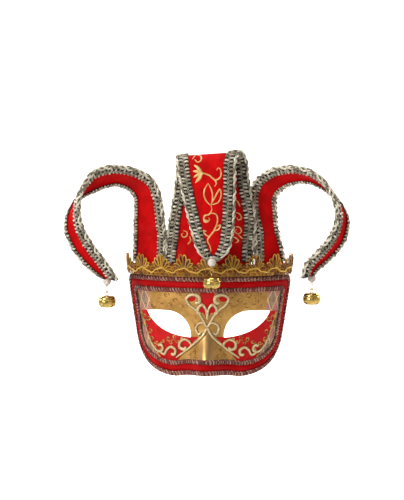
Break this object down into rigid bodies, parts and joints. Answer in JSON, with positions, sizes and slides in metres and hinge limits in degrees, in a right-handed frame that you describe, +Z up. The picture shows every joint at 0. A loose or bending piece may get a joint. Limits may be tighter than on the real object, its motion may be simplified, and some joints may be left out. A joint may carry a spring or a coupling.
{
  "type": "jester mask",
  "caption": "Rigid half mask with a trimmed edge, raised scrolls, gold lace, curling braided cloth horns and hanging bells.",
  "frame": {"origin": "inner face of the mask at the bridge of the nose", "axes": "+Z up, the wearer looks along -Y, +X to the wearer's left"},
  "size_m": [0.2939, 0.0858, 0.2363],
  "materials": {
    "mask_gold": "satin antique gold paint over a moulded paper shell",
    "satin_ribbon": "satin",
    "wine_gimp": "woven cord",
    "gold_lace": "metallic thread",
    "scroll_glitter": "glitter",
    "silver_braid": "metallic woven braid",
    "red_cloth": "satin velvet",
    "pearl": "pearl lustre",
    "gold_wire": "polished",
    "bell_brass": "polished"
  },
  "bodies": {
    "mask": {"mask_face": "mask_gold", "outer_gimp": "wine_gimp", "rim_ribbon": "satin_ribbon", "inner_gimp": "wine_gimp", "gold_lace": "gold_lace", "face_scroll": "scroll_glitter", "right_cheek_scroll": "scroll_glitter", "left_cheek_scroll": "scroll_glitter", "left_horn": "red_cloth", "left_horn_outer_braid": "silver_braid", "left_horn_inner_braid": "silver_braid", "right_horn": "red_cloth", "right_horn_outer_braid": "silver_braid", "right_horn_inner_braid": "silver_braid", "centre_horn": "red_cloth", "centre_horn_outer_braid": "silver_braid", "centre_horn_inner_braid": "silver_braid", "left_pearl": "pearl", "left_pin": "gold_wire", "right_pearl": "pearl", "right_pin": "gold_wire", "centre_pearl": "pearl", "centre_pin": "gold_wire", "centre_bell": "bell_brass"},
    "left_bell": {"left_bell": "bell_brass"},
    "right_bell": {"right_bell": "bell_brass"}
  },
  "joints": [
    {"name": "left_bell_swing", "type": "hinge", "parent": "mask", "child": "left_bell", "pos_m": [-0.10448, 0.00045, 0.03266], "axis": [0.7071, 0.7071, 0], "range_deg": [-50, 50]},
    {"name": "right_bell_swing", "type": "hinge", "parent": "mask", "child": "right_bell", "pos_m": [0.10828, -0.00052, 0.03706], "axis": [0.7071, -0.7071, 0], "range_deg": [-50, 50]}
  ]
}
